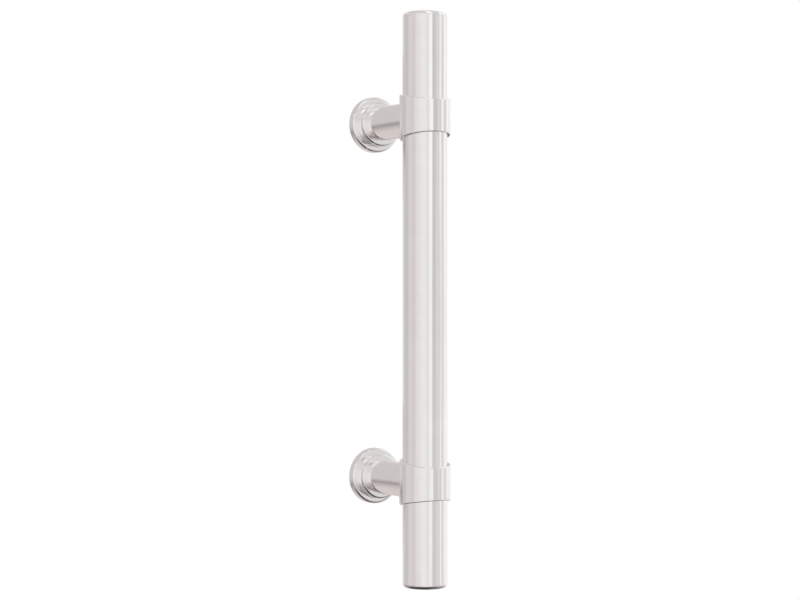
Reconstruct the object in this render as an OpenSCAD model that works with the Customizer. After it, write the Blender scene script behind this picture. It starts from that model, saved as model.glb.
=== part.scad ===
// Bar pull for a cabinet door. A round grip bar runs through two wedge-cut collars. Behind each collar a
// turned post carries the bar clear of the door, and a stepped rosette finishes the foot of the post.
// +Z runs up the bar, the door face is the plane y = 0, and the handle stands out from it towards -Y.
// The origin lies on the door face, midway between the two fixing screws.

/* [Layout] */
// Distance between the two fixing screws, centre to centre
screw_centres = 152.4; // [96:0.1:320]
// Distance from the door face to the axis of the bar
bar_standoff = 42; // [36:0.1:70]

/* [Grip bar] */
// Diameter of the bar
bar_d = 18.7; // [16:0.1:26]
// Length of bar beyond the centre of each post
bar_overhang = 43.5; // [16:0.1:120]
// Radius rolled onto the edge of each end of the bar
bar_end_radius = 1.7; // [0.3:0.1:4]

/* [Collars] */
// Thickness of the collar's wall around the bar
collar_wall = 1.25; // [0.8:0.05:3]
// Height of the collar, measured on its axis
collar_height = 16.9; // [14:0.1:30]
// Angle of the end faces from square, which makes the collar taller at the post than at the front
collar_end_angle = 9.3; // [0:0.1:14]
// Bevel on the outer edge of the end faces
collar_bevel = 0.25; // [0.1:0.05:0.5]

/* [Posts] */
// Diameter of the post
post_d = 14.6; // [12:0.1:18]
// Width of the shoulder that seats on the rosette, around the spigot
post_shoulder = 2.5; // [1:0.1:3.5]
// Distance from the door face to the end of the spigot, so that the rosette is what clamps on the door
spigot_recess = 0.15; // [0.05:0.05:1]

/* [Rosettes] */
// Width of the ledge around the foot of the post, on the step
step_ledge = 2.3; // [1.1:0.05:5]
// Height of the step, next to the post
step_height = 4.3; // [1.2:0.1:8]
// Edge radius of the step
step_edge = 1; // [0.2:0.1:1.1]
// Width of the ledge around the step, on the base
base_ledge = 2.4; // [1.2:0.05:8]
// Height of the base, which lies on the door
base_height = 3.7; // [1.3:0.1:8]
// Edge radius of the base
base_edge = 1.1; // [0.2:0.1:1.2]

/* [Fixings] */
// Diameter of the hole that is tapped for the fixing screw
screw_hole_d = 3.5; // [2.5:0.1:5]
// Depth of that hole at its full diameter
screw_hole_depth = 10; // [6:0.5:12]
// Diameter at its mouth, opened out with the point of a larger drill
screw_mouth_d = 4.6; // [4.2:0.1:6]
// Diameter of the stud that joins post, collar and bar
stud_d = 6.35; // [4:0.05:8]
// Length of stud screwed into the bar
stud_in_bar = 8; // [5:0.5:9]
// Length of stud screwed into the post
stud_in_post = 8; // [5:0.5:9]
// Bevel on the ends of the stud
stud_bevel = 0.6; // [0.2:0.1:1]
// Angle of the point of the drills that make the blind holes
drill_point_angle = 118; // [90:1:140]

/* [Clearances] */
// Gap between the bar and the bore of the collar, on the radius
bar_gap = 0.05; // [0.02:0.01:0.2]
// Gap between the collar and the coped end of the post, on the radius
cope_gap = 0.05; // [0.02:0.01:0.2]
// Gap between the spigot and the bore of the rosette, on the radius
spigot_gap = 0.05; // [0.02:0.01:0.2]
// Gap between the stud and the tapped holes, on the radius
thread_gap = 0.05; // [0.02:0.01:0.2]
// Gap between the stud and the hole through the collar, on the radius
stud_hole_gap = 0.3; // [0.1:0.05:0.6]
// Gap between each end of the stud and the bottom of its hole
stud_end_gap = 0.5; // [0.2:0.1:2]

/* [Hidden] */
$fn = 128;

NICKEL = "#d9d4cf";
STEEL = "#8d9094";

bar_r = bar_d / 2;
bar_length = screw_centres + 2 * bar_overhang;
collar_bore_r = bar_r + bar_gap;
collar_r = collar_bore_r + collar_wall;
post_r = post_d / 2;
spigot_r = post_r - post_shoulder;
step_r = post_r + step_ledge;
base_r = step_r + base_ledge;
rosette_height = base_height + step_height;
cope_r = collar_r + cope_gap;
stud_r = stud_d / 2;
tapped_r = stud_r + thread_gap;
stud_length = stud_in_bar + (cope_r - bar_r) + stud_in_post;
screw_hole_r = screw_hole_d / 2;
screw_mouth_r = screw_mouth_d / 2;

// Places its children at the height of the upper post, or of the lower one
module at_upper() translate([0, 0, screw_centres / 2]) children();
module at_lower() translate([0, 0, -screw_centres / 2]) children();

// Turns +Z towards the bar, away from the door
module towards_bar() rotate([90, 0, 0]) children();

// Turns +Z towards the door, with its children starting on the axis of the bar
module from_bar_axis() translate([0, -bar_standoff, 0]) rotate([-90, 0, 0]) children();

// Half section of a disc that stands on the axis's zero, its front edge rounded
module disc_section(r, height, edge) {
  square([r, height - edge]);
  square([r - edge, height]);
  translate([r - edge, height - edge]) circle(edge);
}

// Height of the cone that a drill's point cuts at a radius
function point_height(r) = r / tan(drill_point_angle / 2);

// Blind hole along +Z from zero, with the cone that the drill leaves below the full depth
module drilled_hole(r, depth) {
  cylinder(r = r, h = depth);
  translate([0, 0, depth]) cylinder(r1 = r, r2 = 0, h = point_height(r));
}

// Tapped hole for the stud, down into the bar from the surface of its back
module bar_stud_hole() {
  bottom = bar_r - stud_in_bar - stud_end_gap;
  translate([0, 0, bar_d]) mirror([0, 0, 1]) drilled_hole(tapped_r, bar_d - bottom);
}

// Round bar with rolled ends and a tapped hole in its back for each stud
module grip_bar() color(NICKEL) difference() {
  translate([0, -bar_standoff, 0]) rotate_extrude() {
    disc_section(bar_r, bar_length / 2, bar_end_radius);
    mirror([0, 1]) disc_section(bar_r, bar_length / 2, bar_end_radius);
  }
  at_upper() from_bar_axis() bar_stud_hole();
  at_lower() from_bar_axis() bar_stud_hole();
}

// Solid that ends in the collar's slanted end face, bevelled round its edge and open below
module slanted_end() {
  reach = collar_height + 2 * collar_r;
  face_r = collar_r - collar_bevel;
  translate([0, 0, collar_height / 2]) rotate([collar_end_angle, 0, 0]) translate([0, 0, -reach])
    cylinder(r1 = face_r + reach, r2 = face_r, h = reach);
}

// Sleeve round the bar, cut on the slant at both ends, with a hole in its back for the stud
module collar() color(NICKEL) difference() {
  translate([0, -bar_standoff, 0]) difference() {
    intersection() {
      cylinder(r = collar_r, h = 2 * collar_height, center = true);
      slanted_end();
      mirror([0, 0, 1]) slanted_end();
    }
    cylinder(r = collar_bore_r, h = 3 * collar_height, center = true);
  }
  from_bar_axis() cylinder(r = stud_r + stud_hole_gap, h = 2 * collar_r);
}

module upper_collar() at_upper() collar();
module lower_collar() at_lower() collar();

// Turned post: a spigot for the rosette, a shoulder, a straight shank and a coped end that sits on the collar
module post() color(NICKEL) difference() {
  towards_bar() {
    translate([0, 0, rosette_height]) cylinder(r = post_r, h = bar_standoff - rosette_height);
    translate([0, 0, spigot_recess]) cylinder(r = spigot_r, h = rosette_height);
  }
  translate([0, -bar_standoff, 0]) cylinder(r = cope_r, h = 2 * post_d, center = true);
  from_bar_axis() drilled_hole(tapped_r, cope_r + stud_in_post + stud_end_gap);
  towards_bar() translate([0, 0, spigot_recess]) {
    drilled_hole(screw_hole_r, screw_hole_depth);
    cylinder(r1 = screw_mouth_r, r2 = 0, h = point_height(screw_mouth_r));
  }
}

module upper_post() at_upper() post();
module lower_post() at_lower() post();

// Turned rosette, a rounded step on a rounded base, bored for the spigot of the post
module rosette() color(NICKEL) towards_bar() difference() {
  rotate_extrude() {
    disc_section(base_r, base_height, base_edge);
    disc_section(step_r, rosette_height, step_edge);
  }
  translate([0, 0, -base_height]) cylinder(r = spigot_r + spigot_gap, h = rosette_height + 2 * base_height);
}

module upper_rosette() at_upper() rosette();
module lower_rosette() at_lower() rosette();

// Threaded stud, bevelled at both ends, from inside the bar to inside the post
module stud() {
  from_bar_axis() translate([0, 0, bar_r - stud_in_bar]) {
    cylinder(r1 = stud_r - stud_bevel, r2 = stud_r, h = stud_bevel);
    translate([0, 0, stud_bevel]) cylinder(r = stud_r, h = stud_length - 2 * stud_bevel);
    translate([0, 0, stud_length - stud_bevel])
      cylinder(r1 = stud_r, r2 = stud_r - stud_bevel, h = stud_bevel);
  }
}

module joining_studs() color(STEEL) {
  at_upper() stud();
  at_lower() stud();
}

grip_bar();
upper_collar();
lower_collar();
upper_post();
lower_post();
upper_rosette();
lower_rosette();
joining_studs();
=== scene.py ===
"""Looks of a cabinet bar pull in polished nickel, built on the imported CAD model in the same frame.

The bar stands along +Z, the door face is the plane y = 0, and the handle stands out from it towards -Y.
Sizes are in millimetres, as in the CAD source, and become metres where a mesh is made.
"""

import logging
import math
from dataclasses import dataclass, field
from enum import Enum, IntEnum

import bpy
import numpy as np
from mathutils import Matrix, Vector


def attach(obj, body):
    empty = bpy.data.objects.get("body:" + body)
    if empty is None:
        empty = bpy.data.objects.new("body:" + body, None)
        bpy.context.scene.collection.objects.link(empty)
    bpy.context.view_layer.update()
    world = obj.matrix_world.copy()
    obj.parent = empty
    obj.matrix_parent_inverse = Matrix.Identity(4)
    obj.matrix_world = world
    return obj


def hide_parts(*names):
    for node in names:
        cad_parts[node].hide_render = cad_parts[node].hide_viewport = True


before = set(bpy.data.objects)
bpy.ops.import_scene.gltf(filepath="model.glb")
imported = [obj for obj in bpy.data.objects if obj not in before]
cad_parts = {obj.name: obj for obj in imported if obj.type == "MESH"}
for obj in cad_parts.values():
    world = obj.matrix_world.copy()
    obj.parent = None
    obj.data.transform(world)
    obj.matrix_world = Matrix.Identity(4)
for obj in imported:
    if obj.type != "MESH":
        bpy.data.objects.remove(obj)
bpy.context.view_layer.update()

LOG = logging.getLogger("bar_pull")
MM = 0.001
BODY = "root"

# Lengths below this many millimetres count as nothing
TINY = 1e-6
# The span that most of a noise texture's values lie in
NOISE_LOW = 0.3
NOISE_HIGH = 0.7
# The angle, in radians, that a wave texture of scale 1 turns through in one unit of length
WAVE_RATE = 20.0

Points = list[tuple[float, float]]
Triple = tuple[float, float, float]
Colour = tuple[float, float, float, float]


class Side(Enum):
    """The two ends of the pull, by the sign of their height."""

    UPPER = 1
    LOWER = -1


class Grain(Enum):
    """The direction that a piece was buffed in, as how closely its marks repeat along each axis."""

    UP_THE_BAR = (1.0, 1.0, 0.02)
    OUT_FROM_DOOR = (1.0, 0.03, 1.0)


class Tint(Enum):
    """The colours of the studio's cards."""

    WHITE = "#ffffff"
    WARM = "#fffbf9"
    PINK = "#fff6f5"


class Slot(Enum):
    """The material slots of the CAD record."""

    NICKEL = "polished_nickel"
    STEEL = "stud_steel"


class Finish(IntEnum):
    """The finishes of a nickel piece, as the places of its materials."""

    POLISHED = 0
    TURNED = 1


def linear(hex_colour: str) -> Colour:
    """Turns an sRGB hex colour to linear light.

    Args:
        hex_colour: Six hex digits after a hash sign.

    Returns:
        Red, green and blue in linear light, and an alpha of 1.
    """
    parts = [int(hex_colour[i : i + 2], 16) / 255 for i in (1, 3, 5)]
    red, green, blue = [p / 12.92 if p <= 0.04045 else ((p + 0.055) / 1.055) ** 2.4 for p in parts]
    return red, green, blue, 1.0


def add_node(
    tree: bpy.types.NodeTree,
    kind: str,
    settings: dict[str | int, object] | None = None,
    links: dict[str | int, bpy.types.NodeSocket] | None = None,
) -> bpy.types.Node:
    """Adds a node with its settings and links.

    Args:
        tree: The node tree that gets the node.
        kind: The node's type, without the prefix that all shader nodes share.
        settings: Values for the node's inputs, by socket name or number, and for its own properties.
        links: The sockets that feed the node's inputs, by socket name or number.

    Returns:
        The new node.
    """
    node = tree.nodes.new("ShaderNode" + kind)
    for key, value in (settings or {}).items():
        if isinstance(key, int) or key in node.inputs:
            node.inputs[key].default_value = value
        else:
            setattr(node, key, value)
    for key, source in (links or {}).items():
        tree.links.new(source, node.inputs[key])
    return node


def new_material(name: str) -> bpy.types.Material:
    """Makes an empty node material.

    Args:
        name: The material's name.

    Returns:
        The material, with no nodes in it.
    """
    material = bpy.data.materials.new(name)
    material.use_nodes = True
    material.node_tree.nodes.clear()
    return material


def wave_scale(pitch_mm: float) -> float:
    """Returns the scale that makes a wave texture repeat at a pitch in millimetres."""
    return 2 * math.pi / (WAVE_RATE * pitch_mm * MM)


@dataclass(frozen=True)
class PolishedNickel:
    """Bright nickel plated on brass that was turned, ground and buffed to a mirror.

    It gives the eye a white metal, a little warm, with sharp reflections. The plate is slightly warmer in
    clouds a few millimetres wide, and the buffing wheel leaves long faint marks that make the gloss uneven
    and bend straight reflections a very little. The marks are really a few hundredths of a millimetre
    apart; they are drawn coarser so that they show.

    Attributes:
        grain: The direction of the buffing.
        light: The plate's usual colour.
        warm: Its colour in the warmer clouds.
        cloud_mm: The size of the clouds.
        mark_mm: The distance between the buffing marks.
        smooth: The roughness between the marks.
        dull: The roughness on them.
        mark_height_mm: The height of the marks.
        detail: How fine the clouds and the marks go.
    """

    grain: Grain
    light: str = "#fbf9f8"
    warm: str = "#f8f5f4"
    cloud_mm: float = 6.0
    mark_mm: float = 0.9
    smooth: float = 0.05
    dull: float = 0.085
    mark_height_mm: float = 0.0012
    detail: float = 2.0

    @property
    def name(self) -> str:
        """Returns the material's name."""
        return f"nickel plate on brass buffed {self.grain.name.lower().replace('_', ' ')}"

    def material(self) -> bpy.types.Material:
        """Builds the material.

        Returns:
            The finished material.
        """
        made = new_material(self.name)
        tree = made.node_tree
        place = add_node(tree, "TexCoord").outputs["Object"]
        cloud = add_node(
            tree,
            "TexNoise",
            {"Scale": 1 / (self.cloud_mm * MM), "Detail": self.detail},
            {"Vector": place},
        )
        plate = add_node(tree, "ValToRGB", links={"Fac": cloud.outputs["Fac"]})
        plate.color_ramp.elements[0].position = NOISE_LOW
        plate.color_ramp.elements[0].color = linear(self.warm)
        plate.color_ramp.elements[1].position = NOISE_HIGH
        plate.color_ramp.elements[1].color = linear(self.light)
        along = add_node(tree, "Mapping", {"Scale": self.grain.value}, {"Vector": place})
        marks = add_node(
            tree,
            "TexNoise",
            {"Scale": 1 / (self.mark_mm * MM), "Detail": self.detail},
            {"Vector": along.outputs["Vector"]},
        )
        gloss = add_node(
            tree,
            "MapRange",
            {
                "From Min": NOISE_LOW,
                "From Max": NOISE_HIGH,
                "To Min": self.smooth,
                "To Max": self.dull,
            },
            {"Value": marks.outputs["Fac"]},
        )
        bump = add_node(
            tree,
            "Bump",
            {"Strength": 1.0, "Distance": self.mark_height_mm * MM},
            {"Height": marks.outputs["Fac"]},
        )
        shader = add_node(
            tree,
            "BsdfPrincipled",
            {"Metallic": 1.0},
            {
                "Base Color": plate.outputs["Color"],
                "Roughness": gloss.outputs["Result"],
                "Normal": bump.outputs["Normal"],
            },
        )
        add_node(tree, "OutputMaterial", links={"Surface": shader.outputs["BSDF"]})
        return made


@dataclass(frozen=True)
class TurnedNickel:
    """Nickel plated over brass as it left the lathe, on the faces that go against the door.

    It gives the eye fine rings round the screw that catch the light in a cross, greyer than the buffed
    front. The tool leaves a ring every tenth of a millimetre; they are drawn three times as wide so that
    they show.

    Attributes:
        name: The material's name.
        ridge: The colour on the rings' ridges.
        groove: The colour in their grooves, painted darker than the ridges as shade.
        ring_mm: The distance from ring to ring.
        ring_height_mm: The height of the ridges.
        smooth: The roughness of the ridges.
        dull: The roughness of the grooves.
        wobble: How far the rings stray from true.
        detail: How fine that straying goes.
    """

    name: str = "nickel plate on turned brass"
    ridge: str = "#dcd8d3"
    groove: str = "#bdb7b0"
    ring_mm: float = 0.3
    ring_height_mm: float = 0.004
    smooth: float = 0.2
    dull: float = 0.32
    wobble: float = 0.6
    detail: float = 2.0

    def material(self) -> bpy.types.Material:
        """Builds the material.

        Returns:
            The finished material.
        """
        made = new_material(self.name)
        tree = made.node_tree
        place = add_node(tree, "TexCoord").outputs["Object"]
        rings = add_node(
            tree,
            "TexWave",
            {
                "wave_type": "RINGS",
                "rings_direction": "Y",
                "Scale": wave_scale(self.ring_mm),
                "Distortion": self.wobble,
                "Detail": self.detail,
            },
            {"Vector": place},
        )
        # The grooves are painted darker than the ridges: painted shade
        tone = add_node(tree, "ValToRGB", links={"Fac": rings.outputs["Fac"]})
        tone.color_ramp.elements[0].color = linear(self.groove)
        tone.color_ramp.elements[1].color = linear(self.ridge)
        gloss = add_node(
            tree, "MapRange", {"To Min": self.dull, "To Max": self.smooth}, {"Value": rings.outputs["Fac"]}
        )
        bump = add_node(
            tree,
            "Bump",
            {"Strength": 1.0, "Distance": self.ring_height_mm * MM},
            {"Height": rings.outputs["Fac"]},
        )
        shader = add_node(
            tree,
            "BsdfPrincipled",
            {"Metallic": 1.0},
            {
                "Base Color": tone.outputs["Color"],
                "Roughness": gloss.outputs["Result"],
                "Normal": bump.outputs["Normal"],
            },
        )
        add_node(tree, "OutputMaterial", links={"Surface": shader.outputs["BSDF"]})
        return made


@dataclass(frozen=True)
class ZincedSteel:
    """Zinc plated on a cold rolled steel stud, threaded from end to end.

    It gives the eye a cool satin grey with the thread's even bands across it.

    Attributes:
        name: The material's name.
        crest: The colour on the thread's crests.
        root: The colour in its roots, painted darker than the crests as shade.
        pitch_mm: The distance from one turn of the thread to the next.
        thread_height_mm: The height of the thread.
        thread_strength: How strongly the thread is shaded.
        roughness: The roughness of the plate.
    """

    name: str = "zinc plate on rolled steel"
    crest: str = "#c3c8cc"
    root: str = "#7d8388"
    pitch_mm: float = 1.27
    thread_height_mm: float = 0.35
    thread_strength: float = 0.6
    roughness: float = 0.34

    def material(self) -> bpy.types.Material:
        """Builds the material.

        Returns:
            The finished material.
        """
        made = new_material(self.name)
        tree = made.node_tree
        place = add_node(tree, "TexCoord").outputs["Object"]
        bands = add_node(
            tree,
            "TexWave",
            {
                "wave_type": "BANDS",
                "bands_direction": "Y",
                "wave_profile": "TRI",
                "Scale": wave_scale(self.pitch_mm),
            },
            {"Vector": place},
        )
        # The thread's roots are painted darker than its crests: painted shade
        tone = add_node(tree, "ValToRGB", links={"Fac": bands.outputs["Fac"]})
        tone.color_ramp.elements[0].color = linear(self.root)
        tone.color_ramp.elements[1].color = linear(self.crest)
        bump = add_node(
            tree,
            "Bump",
            {"Strength": self.thread_strength, "Distance": self.thread_height_mm * MM},
            {"Height": bands.outputs["Fac"]},
        )
        shader = add_node(
            tree,
            "BsdfPrincipled",
            {"Metallic": 1.0, "Roughness": self.roughness},
            {"Base Color": tone.outputs["Color"], "Normal": bump.outputs["Normal"]},
        )
        add_node(tree, "OutputMaterial", links={"Surface": shader.outputs["BSDF"]})
        return made


@dataclass
class Run:
    """One smooth stretch of a skin: rings of points round an axis with the surface's true normals.

    Attributes:
        points: Places in millimetres, as rings by columns by three.
        normals: The outward direction at each point, in the same layout.
        finish: The finish that the stretch has.
    """

    points: np.ndarray
    normals: np.ndarray
    finish: Finish = Finish.POLISHED


@dataclass
class Skin:
    """A closed skin of runs that share their end rings, which becomes one mesh.

    Attributes:
        name: The name of the piece.
        runs: The stretches in order, each starting on the ring where the last one ended.
    """

    name: str
    runs: list[Run] = field(default_factory=list)

    def mesh(self) -> bpy.types.Mesh:
        """Joins the runs to a mesh with exact normals at every corner.

        Returns:
            The mesh, in metres.
        """
        places: list[np.ndarray] = []
        ring_ids: list[np.ndarray] = []
        for number, run in enumerate(self.runs):
            for ring in run.points[0 if number == 0 else 1 :]:
                pole = np.ptp(ring, axis=0).max() < TINY
                start = sum(len(p) for p in places)
                places.append(ring[:1] if pole else ring)
                ring_ids.append(np.full(len(ring), start) if pole else start + np.arange(len(ring)))
        faces: list[tuple[int, ...]] = []
        corners: list[np.ndarray] = []
        finishes: list[int] = []
        level = 0
        for run in self.runs:
            columns = run.points.shape[1]
            for step in range(run.points.shape[0] - 1):
                low, high = ring_ids[level], ring_ids[level + 1]
                for i in range(columns):
                    j = (i + 1) % columns
                    quad = [
                        (low[i], step, i),
                        (low[j], step, j),
                        (high[j], step + 1, j),
                        (high[i], step + 1, i),
                    ]
                    if low[i] == low[j]:
                        quad.pop(1)
                    elif high[i] == high[j]:
                        quad.pop(2)
                    faces.append(tuple(int(c[0]) for c in quad))
                    corners.extend(run.normals[c[1], c[2]] for c in quad)
                    finishes.append(run.finish)
                level += 1
        return self._assemble(np.concatenate(places) * MM, faces, np.array(corners), finishes)

    def _assemble(
        self, places: np.ndarray, faces: list[tuple[int, ...]], corners: np.ndarray, finishes: list[int]
    ) -> bpy.types.Mesh:
        """Makes the mesh and turns its faces outwards.

        Args:
            places: The vertices in metres.
            faces: The vertex numbers of each face.
            corners: The outward normal at each face corner, in the order of the faces.
            finishes: The material number of each face.

        Returns:
            The mesh.
        """
        a, b, c = (places[[f[k] for f in faces]] for k in range(3))
        starts = np.cumsum([0] + [len(f) for f in faces[:-1]])
        facing = np.einsum("ij,ij->i", np.cross(b - a, c - a), corners[starts])
        if np.median(np.sign(facing)) < 0:
            order = np.concatenate([s + np.arange(len(f))[::-1] for s, f in zip(starts, faces)])
            corners = corners[order]
            faces = [f[::-1] for f in faces]
        made = bpy.data.meshes.new(self.name)
        made.from_pydata(places.tolist(), [], faces)
        made.polygons.foreach_set("use_smooth", np.ones(len(faces), dtype=bool))
        made.polygons.foreach_set("material_index", np.array(finishes, dtype=np.int32))
        made.normals_split_custom_set(corners.tolist())
        made.update()
        return made


def filleted(corners: list[Triple], steps: int = 10) -> list[tuple[Points, Points]]:
    """Rounds the corners of a path and works out the direction that its right-hand side faces.

    Args:
        corners: Radius, height and corner radius of each point of the path, in millimetres.
        steps: How many pieces each rounded corner has.

    Returns:
        For each straight or rounded stretch, its points and the normals at them.
    """
    stretches: list[tuple[Points, Points]] = []
    path = [np.array(c[:2]) for c in corners]
    start = path[0]
    for here in range(1, len(path)):
        way = (path[here] - path[here - 1]) / np.linalg.norm(path[here] - path[here - 1])
        facing = (way[1], -way[0])
        radius = corners[here][2]
        if here == len(path) - 1 or radius <= 0:
            stretches.append(([tuple(start), tuple(path[here])], [facing, facing]))
            start = path[here]
            continue
        onward = (path[here + 1] - path[here]) / np.linalg.norm(path[here + 1] - path[here])
        turn = math.atan2(way[0] * onward[1] - way[1] * onward[0], float(way @ onward))
        reach = radius * math.tan(abs(turn) / 2)
        first = path[here] - way * reach
        if np.linalg.norm(first - start) > TINY:
            stretches.append(([tuple(start), tuple(first)], [facing, facing]))
        side = math.copysign(1.0, turn)
        centre = first + side * radius * np.array((-way[1], way[0]))
        bend, faces = [], []
        for k in range(steps + 1):
            angle = turn * k / steps
            cos, sin = math.cos(angle), math.sin(angle)
            direction = np.array((way[0] * cos - way[1] * sin, way[0] * sin + way[1] * cos))
            bend.append(tuple(centre - side * radius * np.array((-direction[1], direction[0]))))
            faces.append((direction[1], -direction[0]))
        stretches.append((bend, faces))
        start = np.array(bend[-1])
    return stretches


@dataclass(frozen=True)
class Axis:
    """An axis that sections are turned about.

    Attributes:
        origin: The point at height zero, in millimetres.
        along: The direction of height.
        right: The direction of the first column.
        columns: How many columns a turn has.
    """

    origin: Triple
    along: Triple
    right: Triple
    columns: int

    def rays(self) -> np.ndarray:
        """Returns the direction of each column, away from the axis."""
        turn = np.linspace(0, 2 * math.pi, self.columns, endpoint=False)[:, None]
        right = np.array(self.right)
        return np.cos(turn) * right + np.sin(turn) * np.cross(np.array(self.along), right)

    def turned(
        self, section: list[tuple[Points, Points]], finish: Finish = Finish.POLISHED
    ) -> list[Run]:
        """Turns a half section about the axis.

        Args:
            section: The stretches of the section, as points and normals by radius and height.
            finish: The finish of the surface.

        Returns:
            One run for each stretch.
        """
        rays, along, origin = self.rays(), np.array(self.along), np.array(self.origin)
        runs = []
        for points, normals in section:
            places = [origin + r * rays + h * along for r, h in points]
            faces = [r * rays + h * along for r, h in normals]
            runs.append(Run(np.array(places), np.array(faces), finish))
        return runs


def fillet_run(
    centres: np.ndarray, first: np.ndarray, last: np.ndarray, radius: float, steps: int = 8
) -> Run:
    """Rounds an edge between two faces with a ball rolled along it.

    Args:
        centres: The ball's centre at each column, in millimetres.
        first: The normal of the face that the run starts on, at each column.
        last: The normal of the face that it ends on.
        radius: The ball's radius.
        steps: How many pieces the round has.

    Returns:
        The run from the first face to the last.
    """
    angle = np.arccos(np.clip(np.einsum("ij,ij->i", first, last), -1, 1))[:, None]
    normals = [
        (np.sin((1 - k / steps) * angle) * first + np.sin(k / steps * angle) * last) / np.sin(angle)
        for k in range(steps + 1)
    ]
    return Run(np.array([centres + radius * n for n in normals]), np.array(normals))


def straight_run(
    start: np.ndarray, end: np.ndarray, normals: np.ndarray, finish: Finish = Finish.POLISHED
) -> Run:
    """Joins two rings by straight lines.

    Args:
        start: The first ring, in millimetres.
        end: The last ring.
        normals: The outward direction at each column.
        finish: The finish of the surface.

    Returns:
        The run.
    """
    return Run(np.array([start, end]), np.array([normals, normals]), finish)


def place_piece(
    skin: Skin, materials: list[bpy.types.Material], node: str, origin: Triple
) -> bpy.types.Object:
    """Makes an object of a skin, dresses it and lets it stand for its CAD node.

    Args:
        skin: The skin, with its points measured from the origin.
        materials: The materials, in the order of the finishes.
        node: The CAD node that the piece stands for.
        origin: Where the piece sits, in millimetres.

    Returns:
        The piece.
    """
    mesh = skin.mesh()
    for material in materials:
        mesh.materials.append(material)
    piece = bpy.data.objects.new(skin.name, mesh)
    bpy.context.scene.collection.objects.link(piece)
    piece.location = Vector(origin) * MM
    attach(piece, BODY)
    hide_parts(node)
    LOG.info("%s: %d faces for CAD node %s", piece.name, len(mesh.polygons), node)
    return piece


@dataclass(frozen=True)
class Layout:
    """Where the pieces stand, in millimetres.

    Attributes:
        screw_centres: Distance between the two posts.
        bar_standoff: Distance from the door face to the axis of the bar.
        bar_d: Diameter of the bar.
        collar_r: Outer radius of the collars.
        post_r: Radius of the posts.
        rosette_height: Height of the rosettes.
    """

    screw_centres: float = 152.4
    bar_standoff: float = 42.0
    bar_d: float = 18.7
    collar_r: float = 10.645
    post_r: float = 7.3
    rosette_height: float = 8.0

    def post_height(self, side: Side) -> float:
        """Returns the height of a post's axis."""
        return side.value * self.screw_centres / 2


@dataclass
class GripBar:
    """The round bar that the hand takes hold of, rolled over at both ends.

    Attributes:
        layout: Where the pieces stand.
        polish: The buffed nickel.
        overhang: Length of bar beyond the axis of each post, in millimetres.
        end_radius: Radius rolled onto the edge of each end.
        end_steps: How many pieces that round has.
        columns: How many columns the mesh has round the axis.
    """

    layout: Layout
    polish: bpy.types.Material
    overhang: float = 43.5
    end_radius: float = 1.7
    end_steps: int = 14
    columns: int = 288

    def build(self) -> Skin:
        """Turns the bar.

        Returns:
            The bar's skin about its own axis.
        """
        r = self.layout.bar_d / 2
        half = self.layout.screw_centres / 2 + self.overhang
        path = [(0, -half, 0), (r, -half, self.end_radius), (r, half, self.end_radius), (0, half, 0)]
        axis = Axis((0, 0, 0), (0, 0, 1), (1, 0, 0), self.columns)
        return Skin("nickel_grip_bar", axis.turned(filleted(path, self.end_steps)))

    def dress(self, skin: Skin) -> bpy.types.Object:
        """Places the bar in its polish.

        Args:
            skin: The bar's skin.

        Returns:
            The piece.
        """
        return place_piece(skin, [self.polish], "grip_bar", (0, -self.layout.bar_standoff, 0))


@dataclass
class Collar:
    """A sleeve round the bar, cut on the slant at both ends so that it is tallest at the post.

    Attributes:
        layout: Where the pieces stand.
        side: The end of the pull.
        polish: The buffed nickel.
        bore_gap: Gap between the bar and the bore, on the radius, in millimetres.
        height: Height of the sleeve on the bar's axis.
        end_angle: Angle of the end faces from square, in degrees.
        outer_edge: Radius that buffing leaves on the outer edges.
        bore_edge: Radius on the edges of the bore.
        columns: How many columns the mesh has round the axis.
    """

    layout: Layout
    side: Side
    polish: bpy.types.Material
    bore_gap: float = 0.05
    height: float = 16.9
    end_angle: float = 9.3
    outer_edge: float = 0.4
    bore_edge: float = 0.12
    columns: int = 288

    def build(self) -> Skin:
        """Cuts the sleeve.

        Returns:
            The collar's skin about the bar's axis.
        """
        axis = Axis((0, 0, 0), (0, 0, 1), (0, 1, 0), self.columns)
        rays = axis.rays()
        bore_r = self.layout.bar_d / 2 + self.bore_gap
        top = self._end(rays, bore_r, 1)
        bottom = self._end(rays, bore_r, -1)
        up = [Run(r.points[::-1], r.normals[::-1]) for r in reversed(bottom)]
        wall = straight_run(up[-1].points[-1], top[0].points[0], rays)
        bore = straight_run(top[-1].points[-1], up[0].points[0], -rays)
        return Skin(f"nickel_{self.side.name.lower()}_collar", [*up, wall, *top, bore])

    def _end(self, rays: np.ndarray, bore_r: float, way: int) -> list[Run]:
        """Makes a slanted end, from the outer wall over its face to the bore.

        Args:
            rays: The direction of each column, away from the bar's axis.
            bore_r: The radius of the bore.
            way: 1 for the end above, -1 for the one below.

        Returns:
            The runs of the outer edge, the face and the edge of the bore.
        """
        slope = math.tan(math.radians(self.end_angle))
        lean = math.hypot(1, slope)
        face = np.broadcast_to(np.array((0, -slope / lean, way / lean)), rays.shape)

        def centres(r: float, edge: float) -> np.ndarray:
            """Places the centres of a ball that rolls along an edge, inside the end face.

            Args:
                r: How far the centres lie from the bar's axis.
                edge: The ball's radius.

            Returns:
                The centre at each column.
            """
            ring = r * rays
            ring[:, 2] = way * (self.height / 2 + slope * ring[:, 1] - edge * lean)
            return ring

        outer_r = self.layout.collar_r - self.outer_edge
        outer = fillet_run(centres(outer_r, self.outer_edge), rays, face, self.outer_edge)
        inner = fillet_run(centres(bore_r + self.bore_edge, self.bore_edge), face, -rays, self.bore_edge)
        flat = straight_run(outer.points[-1], inner.points[0], face)
        return [outer, flat, inner]

    def dress(self, skin: Skin) -> bpy.types.Object:
        """Places the collar in its polish.

        Args:
            skin: The collar's skin.

        Returns:
            The piece.
        """
        place = (0, -self.layout.bar_standoff, self.layout.post_height(self.side))
        return place_piece(skin, [self.polish], f"{self.side.name.lower()}_collar", place)


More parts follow.
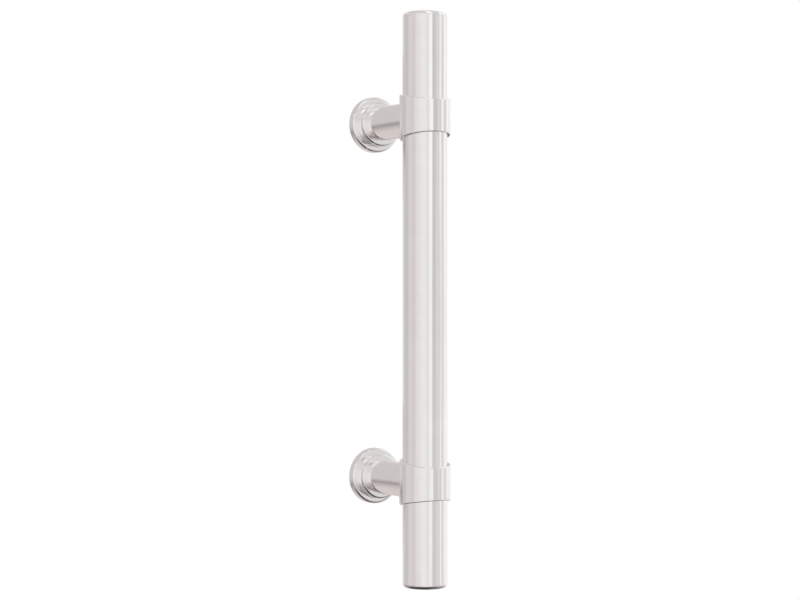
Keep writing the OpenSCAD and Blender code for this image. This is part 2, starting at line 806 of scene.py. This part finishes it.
@dataclass
class Post:
    """A turned post: its spigot fills the rosette, and its front end is coped to sit on the collar.

    Attributes:
        layout: Where the pieces stand.
        side: The end of the pull.
        polish: The buffed nickel.
        turned: The nickel that was left as turned.
        spigot_r: Radius of the spigot, in millimetres.
        spigot_recess: How far the spigot ends short of the door face.
        spigot_edge: Radius on the edge of the spigot's end.
        cope_gap: Gap between the collar and the coped end, on the radius.
        cope_edge: Radius on the edge of the coped end.
        cope_steps: How many pieces that round has.
        cope_rings: How many rings the mesh of the hollow has.
        stud_hole_r: Radius of the hole for the stud.
        stud_hole_depth: Depth of that hole, from the bottom of the hollow.
        screw_minor_r: Radius of the hole for the door screw, inside its thread.
        screw_major_r: Radius at the bottom of the thread's groove.
        screw_mouth_r: Radius at the mouth of the hole.
        screw_pitch: Distance from one turn of the thread to the next.
        screw_depth: Depth of the full hole.
        thread_steps: How many rings of the mesh one turn of the thread takes.
        thread_flat: Share of the pitch that is flat at the bottom of the groove.
        drill_point_angle: Angle of the point of the drills, in degrees.
        columns: How many columns the mesh has round the axis.
    """

    layout: Layout
    side: Side
    polish: bpy.types.Material
    turned: bpy.types.Material
    spigot_r: float = 4.8
    spigot_recess: float = 0.15
    spigot_edge: float = 0.3
    cope_gap: float = 0.05
    cope_edge: float = 0.15
    cope_steps: int = 5
    cope_rings: int = 6
    stud_hole_r: float = 3.225
    stud_hole_depth: float = 8.5
    screw_minor_r: float = 1.75
    screw_major_r: float = 2.08
    screw_mouth_r: float = 2.3
    screw_pitch: float = 0.794
    screw_depth: float = 10.0
    thread_steps: int = 14
    thread_flat: float = 0.2
    drill_point_angle: float = 118.0
    columns: int = 192

    def build(self) -> Skin:
        """Turns, threads and copes the post.

        Returns:
            The post's skin about its own axis, from the bottom of the screw hole to that of the stud hole.
        """
        axis = Axis((0, 0, 0), (0, -1, 0), (1, 0, 0), self.columns)
        foot = self.layout.rosette_height
        point = 1 / math.tan(math.radians(self.drill_point_angle / 2))
        floor = self.spigot_recess + self.screw_depth
        lead = self.spigot_recess + (self.screw_mouth_r - self.screw_minor_r) * point
        thread = self._thread(axis, floor, lead)
        tip = [(0, floor + self.screw_minor_r * point, 0), (self.screw_minor_r, floor, 0)]
        hole = axis.turned(filleted(tip), Finish.TURNED)
        flare = [(self.screw_minor_r, lead, 0), (self.screw_mouth_r, self.spigot_recess, 0)]
        mouth = axis.turned(filleted(flare), Finish.TURNED)
        spigot = axis.turned(
            filleted([
                (self.screw_mouth_r, self.spigot_recess, 0),
                (self.spigot_r, self.spigot_recess, self.spigot_edge),
                (self.spigot_r, foot, 0),
                (self.layout.post_r, foot, 0),
            ]),
            Finish.TURNED,
        )
        return Skin(
            f"nickel_{self.side.name.lower()}_post",
            [*hole, thread, *mouth, *spigot, *self._cope(axis, spigot[-1].points[-1])],
        )

    def _thread(self, axis: Axis, floor: float, lead: float) -> Run:
        """Cuts the screw thread down the wall of the tapped hole.

        Args:
            axis: The post's axis.
            floor: The height where the full hole ends, from the door face.
            lead: The height where its mouth ends.

        Returns:
            The run along the hole's wall, from the floor to the mouth.
        """
        heights = np.arange(floor, lead, -self.screw_pitch / self.thread_steps)
        heights = np.append(heights, lead)
        turns = np.linspace(0, 1, axis.columns, endpoint=False)
        phase = (heights[:, None] / self.screw_pitch - turns[None, :]) % 1
        groove = np.clip((0.5 - np.abs(phase - 0.5)) / (0.5 - self.thread_flat / 2), 0, 1)
        ends = np.minimum(np.abs(heights - floor), np.abs(heights - lead)) / self.screw_pitch
        depth = (self.screw_major_r - self.screw_minor_r) * np.clip(ends, 0, 1)[:, None] * groove
        rays, along = axis.rays(), np.array(axis.along)
        radius = self.screw_minor_r + depth
        points = radius[:, :, None] * rays[None] + heights[:, None, None] * along
        across = np.roll(points, -1, axis=1) - np.roll(points, 1, axis=1)
        down = np.gradient(points, axis=0)
        normals = np.cross(across, down)
        normals /= np.linalg.norm(normals, axis=2, keepdims=True)
        inward = np.sign(np.einsum("ijk,jk->ij", normals, -rays))
        return Run(points, normals * inward[:, :, None], Finish.TURNED)

    def _cope(self, axis: Axis, foot: np.ndarray) -> list[Run]:
        """Makes the shank and the hollowed end that sits on the collar.

        Args:
            axis: The post's axis.
            foot: The ring where the shank stands on the rosette.

        Returns:
            The runs of the shank, its edge, the hollow and the stud's hole.
        """
        rays, along = axis.rays(), np.array(axis.along)
        cope_r = self.layout.collar_r + self.cope_gap

        def seat(r: float, radius: float) -> tuple[np.ndarray, np.ndarray]:
            """Lays a ring on a cylinder about the bar.

            Args:
                r: How far the ring lies from the post's axis.
                radius: The radius of the cylinder.

            Returns:
                The ring, and the direction towards the bar at each column.
            """
            ring = r * rays
            depth = np.sqrt(radius**2 - ring[:, 0] ** 2)
            ring = ring + (self.layout.bar_standoff - depth)[:, None] * along
            inward = np.stack([-ring[:, 0], -depth, np.zeros(len(ring))], axis=1) / radius
            return ring, inward

        centres, inward = seat(self.layout.post_r - self.cope_edge, cope_r + self.cope_edge)
        edge = fillet_run(centres, rays, inward, self.cope_edge, self.cope_steps)
        shank = straight_run(foot, edge.points[0], rays)
        radii = np.linspace(self.layout.post_r - 2 * self.cope_edge, self.stud_hole_r, self.cope_rings)
        rings = [(edge.points[-1], inward), *(seat(r, cope_r) for r in radii)]
        saddle = Run(np.array([r[0] for r in rings]), np.array([r[1] for r in rings]))
        bottom = self.layout.bar_standoff - cope_r - self.stud_hole_depth
        point = self.stud_hole_r / math.tan(math.radians(self.drill_point_angle / 2))
        floor = self.stud_hole_r * rays + bottom * along
        wall = straight_run(saddle.points[-1], floor, -rays, Finish.TURNED)
        tip = [(self.stud_hole_r, bottom, 0), (0, bottom - point, 0)]
        return [shank, edge, saddle, wall, *axis.turned(filleted(tip), Finish.TURNED)]

    def dress(self, skin: Skin) -> bpy.types.Object:
        """Places the post in its finishes.

        Args:
            skin: The post's skin.

        Returns:
            The piece.
        """
        place = (0, 0, self.layout.post_height(self.side))
        return place_piece(skin, [self.polish, self.turned], f"{self.side.name.lower()}_post", place)


@dataclass
class Rosette:
    """A turned disc at the foot of a post, a rounded step on a rounded base.

    Buffing has worn its two ledges down a little towards their outer edges.

    Attributes:
        layout: Where the pieces stand.
        side: The end of the pull.
        polish: The buffed nickel.
        turned: The nickel that was left as turned.
        bore_r: Radius of the bore, in millimetres.
        step_r: Radius of the step.
        step_edge: Edge radius of the step.
        base_r: Radius of the base.
        base_top: Height of the base, next to the step.
        base_edge: Edge radius of the base.
        back_edge: Edge radius at the back of the base.
        root_edge: Radius in the corner between the base and the step.
        ledge_fall: How much lower the base's ledge lies at its outer edge.
        face_fall: How much lower the step's ledge lies at its outer edge.
        edge_steps: How many pieces each round has.
        columns: How many columns the mesh has round the axis.
    """

    layout: Layout
    side: Side
    polish: bpy.types.Material
    turned: bpy.types.Material
    bore_r: float = 4.85
    step_r: float = 9.6
    step_edge: float = 1.0
    base_r: float = 11.99
    base_top: float = 3.7
    base_edge: float = 1.1
    back_edge: float = 0.25
    root_edge: float = 0.12
    ledge_fall: float = 0.08
    face_fall: float = 0.08
    edge_steps: int = 12
    columns: int = 256

    def build(self) -> Skin:
        """Turns the rosette.

        Returns:
            The rosette's skin about the post's axis.
        """
        axis = Axis((0, 0, 0), (0, -1, 0), (1, 0, 0), self.columns)
        top = self.layout.rosette_height
        back = [(self.bore_r, 0, 0), (self.base_r - self.back_edge, 0, 0)]
        front = [
            (self.base_r - self.back_edge, 0, 0),
            (self.base_r, self.back_edge, self.back_edge),
            (self.base_r, self.base_top - self.ledge_fall, self.base_edge),
            (self.step_r, self.base_top, self.root_edge),
            (self.step_r, top - self.face_fall, self.step_edge),
            (self.layout.post_r, top, 0),
            (self.bore_r, top, 0),
        ]
        bore = [(self.bore_r, top, 0), (self.bore_r, 0, 0)]
        runs = [
            *axis.turned(filleted(back), Finish.TURNED),
            *axis.turned(filleted(front, self.edge_steps)),
            *axis.turned(filleted(bore), Finish.TURNED),
        ]
        return Skin(f"nickel_{self.side.name.lower()}_rosette", runs)

    def dress(self, skin: Skin) -> bpy.types.Object:
        """Places the rosette in its finishes.

        Args:
            skin: The rosette's skin.

        Returns:
            The piece.
        """
        place = (0, 0, self.layout.post_height(self.side))
        return place_piece(skin, [self.polish, self.turned], f"{self.side.name.lower()}_rosette", place)


@dataclass
class JoiningStuds:
    """The two threaded studs inside, which stay as the CAD made them.

    Attributes:
        steel: The zinced steel.
        node: The CAD node that holds both studs.
    """

    steel: bpy.types.Material
    node: str = "joining_studs"

    def dress(self) -> bpy.types.Object:
        """Gives the studs their plated steel.

        Returns:
            The CAD node's object.
        """
        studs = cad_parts[self.node]
        studs.data.materials.clear()
        studs.data.materials.append(self.steel)
        LOG.info("%s: CAD node kept, with its own material", studs.name)
        return studs


@dataclass(frozen=True)
class Card:
    """A patch of painted brightness on the glowing tent, in degrees seen from the handle.

    Attributes:
        start: Where it begins, from the camera's side round to the right.
        end: Where it ends.
        low: Its lower edge above the horizon.
        high: Its upper edge.
        tone: How bright it is beside white paper.
        tint: Its colour.
        soft: How far its edges fade.
    """

    start: float
    end: float
    low: float
    high: float
    tone: float
    tint: Tint = Tint.WHITE
    soft: float = 3.0

    def colour(self) -> np.ndarray:
        """Returns the card's light, with an alpha of 1."""
        return np.array([self.tone * part for part in linear(self.tint.value)[:3]] + [1.0])

    def cover(self, around: np.ndarray, above: np.ndarray) -> np.ndarray:
        """Works out how fully the card covers each direction.

        Args:
            around: Directions round the handle, in degrees.
            above: Their heights above the horizon.

        Returns:
            Shares from 0 to 1.
        """
        middle, half = (self.start + self.end) / 2, (self.end - self.start) / 2
        off = np.abs((around - middle + 180) % 360 - 180)
        across = np.clip((half - off) / self.soft + 0.5, 0, 1)
        rise = np.clip((above - self.low) / self.soft + 0.5, 0, 1)
        fall = np.clip((self.high - above) / self.soft + 0.5, 0, 1)
        return across * rise * fall


@dataclass(frozen=True)
class Lamp:
    """A square softbox that points at the handle.

    Attributes:
        name: The lamp's name.
        place: Where it hangs, in millimetres.
        size: The length of its sides.
        watts: Its power.
    """

    name: str
    place: Triple
    size: float
    watts: float


@dataclass
class Studio:
    """A white studio: pale floor, soft lamps, a glowing tent of cards painted with light and shade for the
    metal to mirror, and the camera.

    Attributes:
        layout: Where the pieces stand.
        view_azimuth: Where the camera stands, in degrees to the right of the bar's front.
        view_elevation: How far it stands above the horizon, in degrees.
        view_distance: Its distance from the bar, in millimetres like the lengths below.
        view_shift_px: How far the bar's middle lies to the right of the picture's.
        view_drop_px: How far the bar's middle lies below the picture's.
        view_mm_per_px: The length that a pixel covers at the bar.
        image_width_px: The width of the picture.
        sensor_width: The width of the camera's sensor.
        clip_near: Where the camera's view begins.
        clip_far: Where it ends.
        floor_height: The height of the floor.
        floor_size: The length of its sides.
        floor_glow: The light that the floor adds to the lamps' where it is seen, so that it shows white.
        paper_grain: The size of the grain of the floor's paper.
        paper_detail: How fine that grain goes.
        paper_dark: The paper's darkest colour.
        paper_light: Its lightest.
        fill_light: How strongly the world lights what isn't metal.
        lamps: The softboxes.
        tent_radius: The radius of the tent.
        tent_tone: How bright the tent is between its cards.
        cards: The light and shade painted on the tent, card by card, each laid over those before it.
        door_inner: The inner radius of the ring of door round a rosette.
        door_outer: Its outer radius.
        door_gap: How far the ring lies behind the rosette.
        door_tones: The ring's painted light and shadow: degrees up from its left side, brightness and
            colour.
    """

    layout: Layout
    view_azimuth: float = -32.25
    view_elevation: float = -0.38
    view_distance: float = 788.0
    view_shift_px: float = 25.0
    view_drop_px: float = -0.28
    view_mm_per_px: float = 0.41708
    image_width_px: int = 800
    sensor_width: float = 36.0
    clip_near: float = 10.0
    clip_far: float = 50000.0
    floor_height: float = -760.0
    floor_size: float = 6000.0
    floor_glow: float = 0.62
    paper_grain: float = 2.5
    paper_detail: float = 3.0
    paper_dark: str = "#efeeec"
    paper_light: str = "#f4f3f1"
    fill_light: float = 0.55
    lamps: tuple[Lamp, ...] = (
        Lamp("key softbox", (900, -1000, 1600), 1200, 22),
        Lamp("fill softbox", (-1200, -800, 1200), 1400, 12),
    )
    tent_radius: float = 3000.0
    tent_tone: float = 0.74
    # Light and shade painted on the glowing tent, which the metal mirrors
    cards: tuple[Card, ...] = (
        # On the left, from the ground to overhead
        Card(-140, -52, -95, 90, 0.64, Tint.WARM, 20),
        Card(-140, 4, 38, 62, 0.6, Tint.WARM, 12),
        # Left of the camera and brighter towards it, with darker painted bands and a painted strip light
        # above
        Card(-96, -52, -16, 18, 0.685, Tint.WARM, 8),
        Card(-52, -14, -12, 16, 0.77, Tint.WARM, 10),
        Card(-38, -14, -10, 16, 0.815, Tint.WARM, 8),
        Card(-60, -18, -30, -14, 0.64, Tint.WARM, 8),
        Card(-22, 8, -24, 14, 0.85, soft=8),
        Card(-126, -98, -20, 24, 0.58, Tint.WARM, 12),
        Card(-63, -53, -20, 16, 0.65, Tint.WARM, 5),
        Card(-178, -12, 30.5, 36.5, 0.92, Tint.WARM, 3),
        # Right of the camera, bright and dim in turn
        Card(6, 18, -24, 16, 0.79, soft=8),
        Card(19, 38, -12, 12, 0.91, soft=6),
        Card(22, 37, 3, 13, 0.97, soft=4),
        Card(37.5, 58, -16, 16, 0.6, soft=5),
        Card(40, 54, -12, -3, 0.635, soft=4),
        Card(58, 84, -16, 16, 0.715, soft=6),
        Card(70.5, 77, -16, 16, 0.675, soft=5),
        Card(84, 92, -16, 30, 0.82, soft=4),
        # Behind on the right, with brighter stripes just above and below the horizon for the collars
        Card(116, 174, -20, 50, 0.92, soft=8),
        Card(82, 140, 14, 50, 0.92, soft=12),
        Card(92, 116, -14, 12, 0.75, soft=8),
        Card(79, 91, 3.5, 12, 0.93, soft=4),
        Card(81, 89, -12, -3.5, 0.93, soft=4),
        Card(96, 108, 3, 11, 0.7, soft=4),
        Card(113, 126, 2, 12, 0.99, soft=5),
        Card(113, 126, -12, -2, 0.95, soft=5),
        # Bright bands painted overhead in place of strip lights, and a dim gap between them
        Card(100, 182, 26, 34, 1.0, soft=4),
        Card(12, 42, 33, 85, 1.1, soft=6),
        Card(64, 82, 26, 75, 0.52, soft=12),
        # Below, darkest straight down
        Card(-200, 200, -95, -26, 0.47, Tint.PINK, 10),
        Card(-145, -60, -95, -18, 0.34, Tint.PINK, 10),
        Card(40, 74, -40, -14, 0.52, Tint.PINK, 6),
        Card(-200, 200, -95, -42, 0.05, soft=10),
        Card(92, 140, -80, -40, 0.3, soft=14),
        # Shaded patches behind, which the slanted ends of the collars mirror
        Card(166, 196, -36, -13, 0.2, soft=4),
        Card(168, 194, 14, 25, 0.58, soft=4),
    )
    door_inner: float = 12.05
    door_outer: float = 32.0
    door_gap: float = 0.5
    # The door's light round a rosette, painted in, with the post's shadow as a painted dark streak
    door_tones: tuple[tuple[float, float, Tint], ...] = (
        (-180, 0.7, Tint.PINK),
        (-145, 0.7, Tint.PINK),
        (-125, 0.58, Tint.PINK),
        (-108, 0.68, Tint.PINK),
        (-60, 0.68, Tint.PINK),
        # The post's painted shadow on the door, darkest at -20 degrees
        (-42, 0.58, Tint.PINK),
        (-20, 0.36, Tint.PINK),
        (-4, 0.61, Tint.WARM),
        (2, 0.62, Tint.WARM),
        (100, 0.62, Tint.WARM),
        (145, 0.82, Tint.WARM),
        (180, 0.7, Tint.WARM),
    )

    def floor_paper(self) -> bpy.types.Material:
        """Makes pale matt paper, which gives the eye a white ground that keeps soft shadows.

        Returns:
            The material.
        """
        made = new_material("white studio paper")
        tree = made.node_tree
        grain = add_node(
            tree, "TexNoise", {"Scale": 1 / (self.paper_grain * MM), "Detail": self.paper_detail}
        )
        pale = add_node(tree, "ValToRGB", links={"Fac": grain.outputs["Fac"]})
        pale.color_ramp.elements[0].color = linear(self.paper_dark)
        pale.color_ramp.elements[1].color = linear(self.paper_light)
        matt = add_node(tree, "BsdfDiffuse", links={"Color": pale.outputs["Color"]})
        shine = add_node(tree, "Emission", {"Strength": self.floor_glow})
        both = add_node(tree, "AddShader", links={0: matt.outputs["BSDF"], 1: shine.outputs["Emission"]})
        pick = add_node(
            tree,
            "MixShader",
            links={0: self.seen_rays(tree), 1: matt.outputs["BSDF"], 2: both.outputs["Shader"]},
        )
        add_node(tree, "OutputMaterial", links={"Surface": pick.outputs["Shader"]})
        return made

    def seen_rays(self, tree: bpy.types.NodeTree) -> bpy.types.NodeSocket:
        """Adds a test for the rays that show the background: the camera's, and those off metal or in glass.

        Args:
            tree: The node tree.

        Returns:
            A socket that is 1 for those rays and 0 for others.
        """
        path = add_node(tree, "LightPath")
        metal = add_node(
            tree,
            "Math",
            {"operation": "MAXIMUM"},
            {0: path.outputs["Is Camera Ray"], 1: path.outputs["Is Glossy Ray"]},
        )
        glass = add_node(
            tree,
            "Math",
            {"operation": "MAXIMUM"},
            {0: metal.outputs["Value"], 1: path.outputs["Is Transmission Ray"]},
        )
        return glass.outputs["Value"]

    def build_world(self) -> None:
        """Makes the world white where it is seen and a plain soft light elsewhere."""
        world = bpy.data.worlds.new("white studio")
        bpy.context.scene.world = world
        world.use_nodes = True
        tree = world.node_tree
        tree.nodes.clear()
        fill = add_node(tree, "Background", {"Color": linear("#ffffff"), "Strength": self.fill_light})
        white = add_node(tree, "Background", {"Color": linear("#ffffff"), "Strength": 1.0})
        pick = add_node(
            tree,
            "MixShader",
            links={0: self.seen_rays(tree), 1: fill.outputs["Background"], 2: white.outputs["Background"]},
        )
        add_node(tree, "OutputWorld", links={"Surface": pick.outputs["Shader"]})

    def build_floor(self) -> bpy.types.Object:
        """Lays the floor well below the handle.

        Returns:
            The floor.
        """
        half = self.floor_size / 2 * MM
        mesh = bpy.data.meshes.new("floor")
        mesh.from_pydata(
            [(-half, -half, 0), (half, -half, 0), (half, half, 0), (-half, half, 0)], [], [(0, 1, 2, 3)]
        )
        mesh.materials.append(self.floor_paper())
        floor = bpy.data.objects.new("floor", mesh)
        bpy.context.scene.collection.objects.link(floor)
        floor.location = (0, 0, self.floor_height * MM)
        floor.visible_glossy = False
        return floor

    def build_tent(self, columns: int = 360, rows: int = 180) -> bpy.types.Object:
        """Sets the glowing tent of painted cards round the handle. Only reflections see it, as painted
        light in the metal.

        Args:
            columns: How many columns the tent has.
            rows: How many rows.

        Returns:
            The tent.
        """
        around, above = np.meshgrid(
            np.arange(columns) * 360 / columns - 180, np.linspace(-90, 90, rows + 1), indexing="xy"
        )
        shade = np.full((*around.shape, 4), self.tent_tone)
        for card in self.cards:
            share = card.cover(around, above)[..., None]
            shade = shade * (1 - share) + card.colour() * share
        turn = np.radians(self.view_azimuth + around)
        flat = np.cos(np.radians(above))
        sphere = np.stack([np.sin(turn) * flat, -np.cos(turn) * flat, np.sin(np.radians(above))], axis=-1)
        ids = np.arange(around.size).reshape(around.shape)
        right = np.roll(ids, -1, axis=1)
        faces = np.stack([ids[:-1], ids[1:], right[1:], right[:-1]], axis=-1).reshape(-1, 4)
        place = (0, -self.layout.bar_standoff, 0)
        return self.painted_card("light_tent", sphere * self.tent_radius, faces, shade, place)

    def build_door(self, side: Side, columns: int = 180) -> bpy.types.Object:
        """Sets a glowing ring for the door round a rosette, with the shadow that the handle lays on it
        painted in.

        Args:
            side: The end of the pull.
            columns: How many columns the ring has.

        Returns:
            The ring.
        """
        turn = np.linspace(-180, 180, columns, endpoint=False)
        angles = [angle for angle, _, _ in self.door_tones]
        lights = np.array(
            [[tone * part for part in linear(tint.value)[:3]] for _, tone, tint in self.door_tones]
        )
        shade = np.ones((2, columns, 4))
        shade[:, :, :3] = np.stack([np.interp(turn, angles, lights[:, k]) for k in range(3)], axis=1)
        ray = np.stack([-np.cos(np.radians(turn)), 0 * turn, np.sin(np.radians(turn))], axis=1)
        rings = np.stack([self.door_inner * ray, self.door_outer * ray])
        ids = np.arange(2 * columns).reshape(2, columns)
        right = np.roll(ids, -1, axis=1)
        faces = np.stack([ids[0], ids[1], right[1], right[0]], axis=-1)
        place = (0, self.door_gap, self.layout.post_height(side))
        return self.painted_card(f"{side.name.lower()}_door_card", rings, faces, shade, place)

    def painted_card(
        self,
        name: str,
        points: np.ndarray,
        faces: np.ndarray,
        shade: np.ndarray,
        place: Triple,
    ) -> bpy.types.Object:
        """Makes a glowing card with painted light that only reflections see.

        Args:
            name: The card's name.
            points: Its points in millimetres.
            faces: The point numbers of each face.
            shade: The light at each point.
            place: Where it goes, in millimetres.

        Returns:
            The card.
        """
        mesh = bpy.data.meshes.new(name)
        mesh.from_pydata((points * MM).reshape(-1, 3).tolist(), [], faces.tolist())
        paint = mesh.color_attributes.new("shade", "FLOAT_COLOR", "POINT")
        paint.data.foreach_set("color", shade.astype(np.float32).ravel())
        mesh.materials.append(self.card_paper())
        return self.only_in_reflections(mesh, place)

    def card_paper(self) -> bpy.types.Material:
        """Makes the cards' glowing paint, which gives off just the light painted on them.

        Returns:
            The material.
        """
        made = new_material("lit card")
        tree = made.node_tree
        paint = add_node(tree, "VertexColor", {"layer_name": "shade"})
        shine = add_node(tree, "Emission", {"Strength": 1.0}, {"Color": paint.outputs["Color"]})
        add_node(tree, "OutputMaterial", links={"Surface": shine.outputs["Emission"]})
        made.cycles.emission_sampling = "NONE"
        return made

    def only_in_reflections(self, mesh: bpy.types.Mesh, place: Triple) -> bpy.types.Object:
        """Puts a card where only reflections see it.

        Args:
            mesh: The card's mesh.
            place: Where it goes, in millimetres.

        Returns:
            The card.
        """
        card = bpy.data.objects.new(mesh.name, mesh)
        bpy.context.scene.collection.objects.link(card)
        card.location = Vector(place) * MM
        card.visible_camera = False
        card.visible_diffuse = False
        card.visible_shadow = False
        card.visible_volume_scatter = False
        return card

    def build_lamps(self) -> None:
        """Hangs the soft lamps that light the floor and lay the handle's shadow on it."""
        for lamp in self.lamps:
            light = bpy.data.lights.new(lamp.name, "AREA")
            light.size = lamp.size * MM
            light.energy = lamp.watts
            box = bpy.data.objects.new(lamp.name, light)
            bpy.context.scene.collection.objects.link(box)
            box.location = Vector(lamp.place) * MM
            box.rotation_euler = (-Vector(lamp.place)).to_track_quat("-Z", "Y").to_euler()
            box.visible_glossy = False
            box.visible_camera = False

    def build_camera(self) -> bpy.types.Object:
        """Sets the camera level with the middle of the bar, in front and to the left.

        Returns:
            The camera.
        """
        turn, rise = math.radians(self.view_azimuth), math.radians(self.view_elevation)
        back = Vector((math.sin(turn) * math.cos(rise), -math.cos(turn) * math.cos(rise), math.sin(rise)))
        right = Vector((math.cos(turn), math.sin(turn), 0))
        up = back.cross(right)
        data = bpy.data.cameras.new("camera")
        data.sensor_width = self.sensor_width
        data.lens = self.view_distance / self.view_mm_per_px * data.sensor_width / self.image_width_px
        data.clip_start = self.clip_near * MM
        data.clip_end = self.clip_far * MM
        camera = bpy.data.objects.new("camera", data)
        bpy.context.scene.collection.objects.link(camera)
        target = Vector((0, -self.layout.bar_standoff, 0))
        target += (up * self.view_drop_px - right * self.view_shift_px) * self.view_mm_per_px
        camera.location = (target + back * self.view_distance) * MM
        camera.rotation_euler = (-back).to_track_quat("-Z", "Y").to_euler()
        bpy.context.scene.camera = camera
        return camera

    def build(self) -> None:
        """Builds the whole studio."""
        bpy.context.scene.view_settings.view_transform = "Standard"
        self.build_world()
        self.build_floor()
        self.build_tent()
        for side in Side:
            self.build_door(side)
        self.build_lamps()
        self.build_camera()
        LOG.info("studio: floor, tent of %d cards, %d lamps and camera", len(self.cards), len(self.lamps))


def main() -> None:
    """Builds the pull piece by piece, then the studio round it."""
    logging.basicConfig(level=logging.INFO, format="%(name)s: %(message)s")
    layout = Layout()
    upright = PolishedNickel(Grain.UP_THE_BAR).material()
    outward = PolishedNickel(Grain.OUT_FROM_DOOR).material()
    turned = TurnedNickel().material()
    bar = GripBar(layout, upright)
    bar.dress(bar.build())
    for side in Side:
        for piece in (
            Collar(layout, side, upright),
            Post(layout, side, outward, turned),
            Rosette(layout, side, outward, turned),
        ):
            piece.dress(piece.build())
    JoiningStuds(ZincedSteel().material()).dress()
    Studio(layout).build()


if __name__ == "__main__":
    main()
